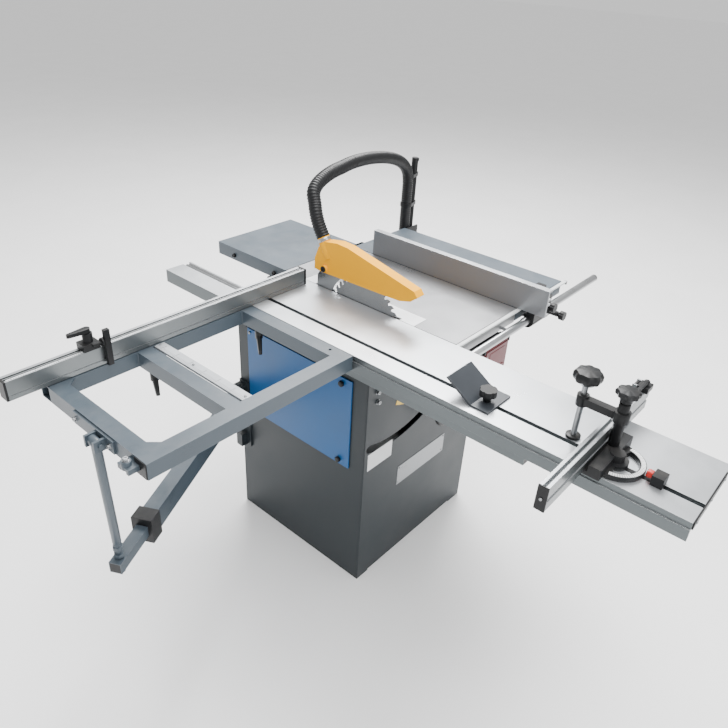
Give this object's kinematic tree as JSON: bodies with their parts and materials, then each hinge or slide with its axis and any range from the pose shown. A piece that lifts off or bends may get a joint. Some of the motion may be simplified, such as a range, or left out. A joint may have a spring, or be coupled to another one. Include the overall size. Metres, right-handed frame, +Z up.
{
  "type": "sliding table panel saw",
  "caption": "Panel saw: steel cabinet, tilting and rising blade unit, sliding table with outrigger frame on a swing arm, crosscut, mitre and rip fences, hose-fed blade guard.",
  "frame": {"origin": "middle of the cabinet's footprint, on the floor, at the centre of the four floor bolt holes", "axes": "+X to the operator's right, +Y in the feed direction, from the operator towards the back, +Z up"},
  "size_m": [1.611, 1.573, 1.1709],
  "materials": {
    "cabinet_paint": "satin",
    "cover_blue": "satin",
    "slate_paint": "semi gloss",
    "cast_table_iron": "ground",
    "cast_painted": "painted",
    "anodised": "satin anodised",
    "insert_plate": "bright",
    "bright_steel": "ground",
    "zinc_steel": "zinc plated",
    "black_plastic": "moulded",
    "black_hose": "ribbed",
    "guard_yellow": "moulded",
    "stop_red": "moulded",
    "motor_paint": "satin",
    "shoe_grey": "satin",
    "belt_rubber": "matte"
  },
  "bodies": {
    "machine": {"cabinet_shell": "cabinet_paint", "side_cover": "cover_blue", "dust_chute": "zinc_steel", "main_table": "cast_table_iron", "table_insert": "insert_plate", "rear_extension": "slate_paint", "right_extension": "slate_paint", "scale_rail": "anodised", "guide_rail": "bright_steel", "rail_standoffs": "zinc_steel", "base_beam": "anodised", "beam_rods": "bright_steel", "beam_brackets": "cabinet_paint", "arm_bracket": "cabinet_paint", "switch_box": "black_plastic", "hose_column": "black_plastic", "hose_drop": "black_hose", "hose_upper": "black_hose", "trunnion_brackets": "cast_painted"},
    "tilt_unit": {"tilt_frame": "cast_painted"},
    "tilt_drive": {"tilt_wheel": "black_plastic"},
    "lift_unit": {"arbor_block": "cast_painted", "motor": "motor_paint", "riving_knife": "bright_steel", "drive_belt": "belt_rubber", "hose_middle": "black_hose"},
    "lift_spindle": {"lift_screw": "bright_steel"},
    "height_drive": {"height_wheel": "black_plastic"},
    "blade_unit": {"arbor": "bright_steel", "saw_blade": "bright_steel"},
    "motor_unit": {"motor_pulley": "zinc_steel"},
    "guard": {"blade_guard": "guard_yellow", "hose_lower": "black_hose"},
    "slide": {"sliding_table": "anodised", "table_end_plates": "black_plastic"},
    "roller_cage": {"table_rollers": "zinc_steel"},
    "crosscut": {"crosscut_frame": "slate_paint", "frame_scale": "anodised", "strut": "slate_paint"},
    "rear_clamp": {"rear_lever": "black_plastic"},
    "mid_clamp": {"mid_lever": "black_plastic"},
    "fence": {"crosscut_fence": "anodised"},
    "stop": {"stop_slider": "black_plastic"},
    "stop_arm": {"flip_stop": "black_plastic"},
    "swing_arm": {"arm_outer": "slate_paint", "arm_collar": "black_plastic"},
    "arm_slide": {"arm_inner": "slate_paint"},
    "mitre_slide": {"mitre_bar": "black_plastic"},
    "mitre_gauge": {"mitre_head": "black_plastic", "mitre_fence": "anodised"},
    "mitre_flip": {"mitre_stop": "black_plastic"},
    "holddown": {"holddown_post": "black_plastic"},
    "holddown_screw": {"clamp_screw": "zinc_steel"},
    "shoe": {"edging_shoe": "shoe_grey"},
    "shoe_clamp": {"shoe_knob": "black_plastic"},
    "rip_slide": {"rip_carriage": "black_plastic"},
    "rip_face": {"rip_fence": "anodised"},
    "rail_clamp": {"rip_lock_knob": "black_plastic"},
    "fence_clamp": {"fence_lock_knob": "black_plastic"},
    "stop_flap": {"stop_paddle": "stop_red"}
  },
  "joints": [
    {"name": "tilt_turn", "type": "hinge", "parent": "machine", "child": "tilt_drive", "pos_m": [0.319, -0.16, 0.64], "axis": [1, 0, 0], "range_deg": [0, 2160]},
    {"name": "tilt", "type": "hinge", "parent": "machine", "child": "tilt_unit", "pos_m": [-0.15, -0.04, 0.855], "axis": [0, 1, 0], "range_deg": [0, 45], "deforming": ["hose_upper"]},
    {"name": "height_turn", "type": "hinge", "parent": "tilt_unit", "child": "height_drive", "pos_m": [0.0237, -0.318, 0.52831], "axis": [0, -1, 0], "range_deg": [-1621, 0]},
    {"name": "lift", "type": "slide", "parent": "tilt_unit", "child": "lift_unit", "axis": [0, 0, 1], "range_m": [-0.045, 0], "deforming": ["hose_middle"]},
    {"name": "screw_turn", "type": "hinge", "parent": "tilt_unit", "child": "lift_spindle", "pos_m": [0.012, -0.16, 0.7], "axis": [0, 0, 1], "range_deg": [-1621, 0]},
    {"name": "blade_spin", "type": "hinge", "parent": "lift_unit", "child": "blade_unit", "pos_m": [-0.15, -0.122, 0.81], "axis": [-1, 0, 0], "continuous": true},
    {"name": "motor_spin", "type": "hinge", "parent": "lift_unit", "child": "motor_unit", "pos_m": [-0.15, 0.04, 0.745], "axis": [-1, 0, 0], "continuous": true},
    {"name": "guard_swing", "type": "hinge", "parent": "lift_unit", "child": "guard", "pos_m": [-0.15, 0.012, 0.926], "axis": [1, 0, 0], "range_deg": [-12, 8], "deforming": ["hose_lower"]},
    {"name": "table_slide", "type": "slide", "parent": "machine", "child": "slide", "axis": [0, 1, 0], "range_m": [-0.25, 0.53]},
    {"name": "cage_slide", "type": "slide", "parent": "machine", "child": "roller_cage", "axis": [0, 1, 0], "range_m": [-0.13, 0.27]},
    {"name": "frame_slide", "type": "slide", "parent": "slide", "child": "crosscut", "axis": [0, 1, 0], "range_m": [-0.25, 0]},
    {"name": "rear_clamp_turn", "type": "hinge", "parent": "crosscut", "child": "rear_clamp", "pos_m": [-0.393, 0.03, 0.8], "axis": [0, 0, 1], "range_deg": [-60, 60]},
    {"name": "mid_clamp_turn", "type": "hinge", "parent": "crosscut", "child": "mid_clamp", "pos_m": [-0.702, 0.045, 0.8], "axis": [0, 0, 1], "range_deg": [-60, 60]},
    {"name": "fence_swing", "type": "hinge", "parent": "crosscut", "child": "fence", "pos_m": [-0.393, 0.092, 0.87], "axis": [0, 0, 1], "range_deg": [0, 45]},
    {"name": "stop_slide", "type": "slide", "parent": "fence", "child": "stop", "axis": [1, 0, 0], "range_m": [-0.15, 0.36]},
    {"name": "stop_flip", "type": "hinge", "parent": "stop", "child": "stop_arm", "pos_m": [-0.795, 0.072, 0.918], "axis": [-1, 0, 0], "range_deg": [0, 90]},
    {"name": "arm_swing", "type": "hinge", "parent": "machine", "child": "swing_arm", "pos_m": [-0.3, 0.246, 0.457], "axis": [0, 0, 1], "range_deg": [-48, 22]},
    {"name": "arm_extend", "type": "slide", "parent": "swing_arm", "child": "arm_slide", "axis": [-0.882, -0.4713, 0], "range_m": [-0.08, 0.2]},
    {"name": "mitre_travel", "type": "slide", "parent": "slide", "child": "mitre_slide", "axis": [0, 1, 0], "range_m": [-0.06, 0.08]},
    {"name": "mitre_turn", "type": "hinge", "parent": "mitre_slide", "child": "mitre_gauge", "pos_m": [-0.313, -0.905, 0.866], "axis": [0, 0, 1], "range_deg": [-45, 45]},
    {"name": "mitre_stop_flip", "type": "hinge", "parent": "mitre_gauge", "child": "mitre_flip", "pos_m": [-0.104, -0.847, 0.921], "axis": [1, 0, 0], "range_deg": [0, 90]},
    {"name": "holddown_turn", "type": "hinge", "parent": "mitre_gauge", "child": "holddown", "pos_m": [-0.292, -0.886, 0.9], "axis": [0, 0, 1], "range_deg": [-30, 30]},
    {"name": "holddown_press", "type": "slide", "parent": "holddown", "child": "holddown_screw", "axis": [0, 0, 1], "range_m": [0, 0.05]},
    {"name": "shoe_travel", "type": "slide", "parent": "slide", "child": "shoe", "axis": [0, 1, 0], "range_m": [0, 0.45]},
    {"name": "shoe_clamp_turn", "type": "hinge", "parent": "shoe", "child": "shoe_clamp", "pos_m": [-0.313, -0.615, 0.87], "axis": [0, 0, 1], "range_deg": [-180, 180]},
    {"name": "rip_travel", "type": "slide", "parent": "machine", "child": "rip_slide", "axis": [1, 0, 0], "range_m": [-0.24, 0.25]},
    {"name": "rip_face_travel", "type": "slide", "parent": "rip_slide", "child": "rip_face", "axis": [0, 1, 0], "range_m": [-0.2, 0.1]},
    {"name": "rail_clamp_turn", "type": "hinge", "parent": "rip_slide", "child": "rail_clamp", "pos_m": [0.268, -0.49, 0.822], "axis": [0, 1, 0], "range_deg": [0, 360]},
    {"name": "fence_clamp_turn", "type": "hinge", "parent": "rip_slide", "child": "fence_clamp", "pos_m": [0.215, -0.49, 0.862], "axis": [0, 1, 0], "range_deg": [0, 360]},
    {"name": "stop_press", "type": "hinge", "parent": "machine", "child": "stop_flap", "pos_m": [0.055, -0.424, 0.778], "axis": [-1, 0, 0], "range_deg": [0, 25]}
  ],
  "couplings": [
    {"joint": "tilt", "follows": "tilt_turn", "ratio": 0.020833},
    {"joint": "height_turn", "follows": "lift", "rad_per_m": 628.32},
    {"joint": "screw_turn", "follows": "lift", "rad_per_m": 628.32},
    {"joint": "motor_spin", "follows": "blade_spin", "ratio": 0.86667},
    {"joint": "cage_slide", "follows": "table_slide", "ratio": 0.5},
    {"joint": "arm_swing", "follows": "table_slide", "rad_per_m": -1.45}
  ]
}
